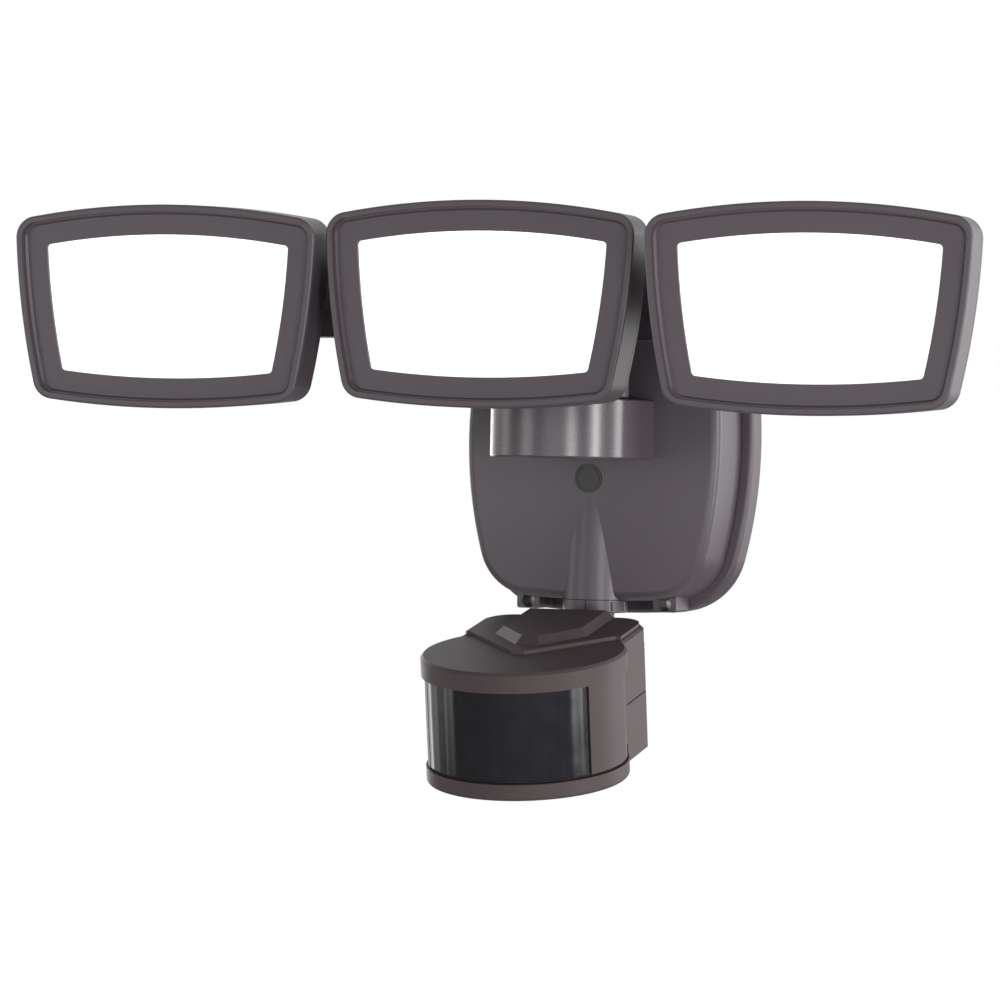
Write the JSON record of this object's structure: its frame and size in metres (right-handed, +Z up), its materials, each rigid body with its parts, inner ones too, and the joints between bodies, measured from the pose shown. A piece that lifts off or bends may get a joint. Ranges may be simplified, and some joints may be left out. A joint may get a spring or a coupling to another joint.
{
  "type": "motion sensor security light",
  "caption": "Outdoor motion-sensing security light with a row of square lamp heads on a crossbar, a wall box and a hinged infrared sensor under it.",
  "frame": {"origin": "where the axis of the centre fixing bolt crosses the wall plane", "axes": "+Y into the wall, so the light faces -Y; +X to the right as seen from in front; +Z up"},
  "size_m": [0.3947, 0.1964, 0.2356],
  "materials": {
    "bronze_metal": "satin",
    "black_metal": "satin",
    "bronze_plastic": "satin",
    "black_plastic": "matte",
    "white_plastic": "matte",
    "opal_lens": "gloss",
    "smoked_window": "gloss",
    "rubber_black": "matte",
    "rubber_grey": "matte",
    "steel": "satin",
    "board_green": "satin",
    "white_board": "satin",
    "led_yellow": "gloss"
  },
  "bodies": {
    "base": {"wall_gasket": "rubber_black", "back_plate": "bronze_metal", "mounting_strap": "steel", "mounting_bolt": "steel", "centre_plug": "rubber_grey", "cover_seal": "rubber_black", "front_cover": "bronze_metal", "cover_screws": "steel", "wire_grommet": "rubber_black", "terminal_block": "white_plastic", "driver_board": "board_green", "driver_parts": "black_plastic", "arm_block": "bronze_metal", "arm_screws": "steel"},
    "bar": {"crossbar": "bronze_metal", "stem_nut": "steel", "left_swivel_bolt": "steel", "middle_swivel_bolt": "steel", "right_swivel_bolt": "steel"},
    "left_link": {"left_knuckle": "black_metal"},
    "left_head": {"left_housing": "bronze_metal", "left_bezel": "bronze_metal", "left_lens": "opal_lens", "left_lens_seal": "rubber_black", "left_reflector": "white_plastic", "left_led_board": "white_board", "left_leds": "led_yellow", "left_bezel_screws": "steel", "left_tilt_bolt": "steel"},
    "middle_link": {"middle_knuckle": "black_metal"},
    "middle_head": {"middle_housing": "bronze_metal", "middle_bezel": "bronze_metal", "middle_lens": "opal_lens", "middle_lens_seal": "rubber_black", "middle_reflector": "white_plastic", "middle_led_board": "white_board", "middle_leds": "led_yellow", "middle_bezel_screws": "steel", "middle_tilt_bolt": "steel"},
    "right_link": {"right_knuckle": "black_metal"},
    "right_head": {"right_housing": "bronze_metal", "right_bezel": "bronze_metal", "right_lens": "opal_lens", "right_lens_seal": "rubber_black", "right_reflector": "white_plastic", "right_led_board": "white_board", "right_leds": "led_yellow", "right_bezel_screws": "steel", "right_tilt_bolt": "steel"},
    "sensor_mount": {"sensor_swivel": "bronze_metal", "sensor_nut": "steel"},
    "sensor": {"sensor_bolt": "steel", "sensor_body": "bronze_plastic", "sensor_cap": "bronze_plastic", "sensor_window": "smoked_window", "sensor_ring": "bronze_plastic", "sensor_board": "board_green", "sensor_eye": "steel"},
    "time_adjuster": {"time_knob": "black_plastic"},
    "range_adjuster": {"range_knob": "black_plastic"}
  },
  "joints": [
    {"name": "bar_swivel", "type": "hinge", "parent": "base", "child": "bar", "pos_m": [0, -0.081, 0.045], "axis": [0, 0, 1], "range_deg": [-20, 20]},
    {"name": "left_head_swivel", "type": "hinge", "parent": "bar", "child": "left_link", "pos_m": [-0.1333, -0.1155, 0.0668], "axis": [0, 0, 1], "range_deg": [-60, 2]},
    {"name": "left_head_tilt", "type": "hinge", "parent": "left_link", "child": "left_head", "pos_m": [-0.13256, -0.12688, 0.0668], "axis": [0.9979, 0.0645, 0], "range_deg": [-30, 40]},
    {"name": "middle_head_swivel", "type": "hinge", "parent": "bar", "child": "middle_link", "pos_m": [0, -0.108, 0.0668], "axis": [0, 0, 1], "range_deg": [-3, 3.5]},
    {"name": "middle_head_tilt", "type": "hinge", "parent": "middle_link", "child": "middle_head", "pos_m": [0.00038, -0.11939, 0.0668], "axis": [0.9995, 0.0332, 0], "range_deg": [-30, 40]},
    {"name": "right_head_swivel", "type": "hinge", "parent": "bar", "child": "right_link", "pos_m": [0.1333, -0.1155, 0.0668], "axis": [0, 0, 1], "range_deg": [-5, 60]},
    {"name": "right_head_tilt", "type": "hinge", "parent": "right_link", "child": "right_head", "pos_m": [0.13406, -0.12687, 0.0668], "axis": [0.9978, 0.0663, 0], "range_deg": [-30, 40]},
    {"name": "sensor_swivel", "type": "hinge", "parent": "base", "child": "sensor_mount", "pos_m": [0, -0.033, -0.053], "axis": [0, 0, 1], "range_deg": [-40, 40]},
    {"name": "sensor_tilt", "type": "hinge", "parent": "sensor_mount", "child": "sensor", "pos_m": [0.00059, -0.04997, -0.06999], "axis": [0.9994, 0.0349, 0], "range_deg": [-15, 35]},
    {"name": "time_knob_turn", "type": "hinge", "parent": "sensor", "child": "time_adjuster", "pos_m": [-0.01021, -0.11318, -0.11765], "axis": [0.0064, -0.1838, 0.9829], "range_deg": [-135, 135]},
    {"name": "range_knob_turn", "type": "hinge", "parent": "sensor", "child": "range_adjuster", "pos_m": [0.01578, -0.11228, -0.11765], "axis": [0.0064, -0.1838, 0.9829], "range_deg": [-135, 135]}
  ]
}
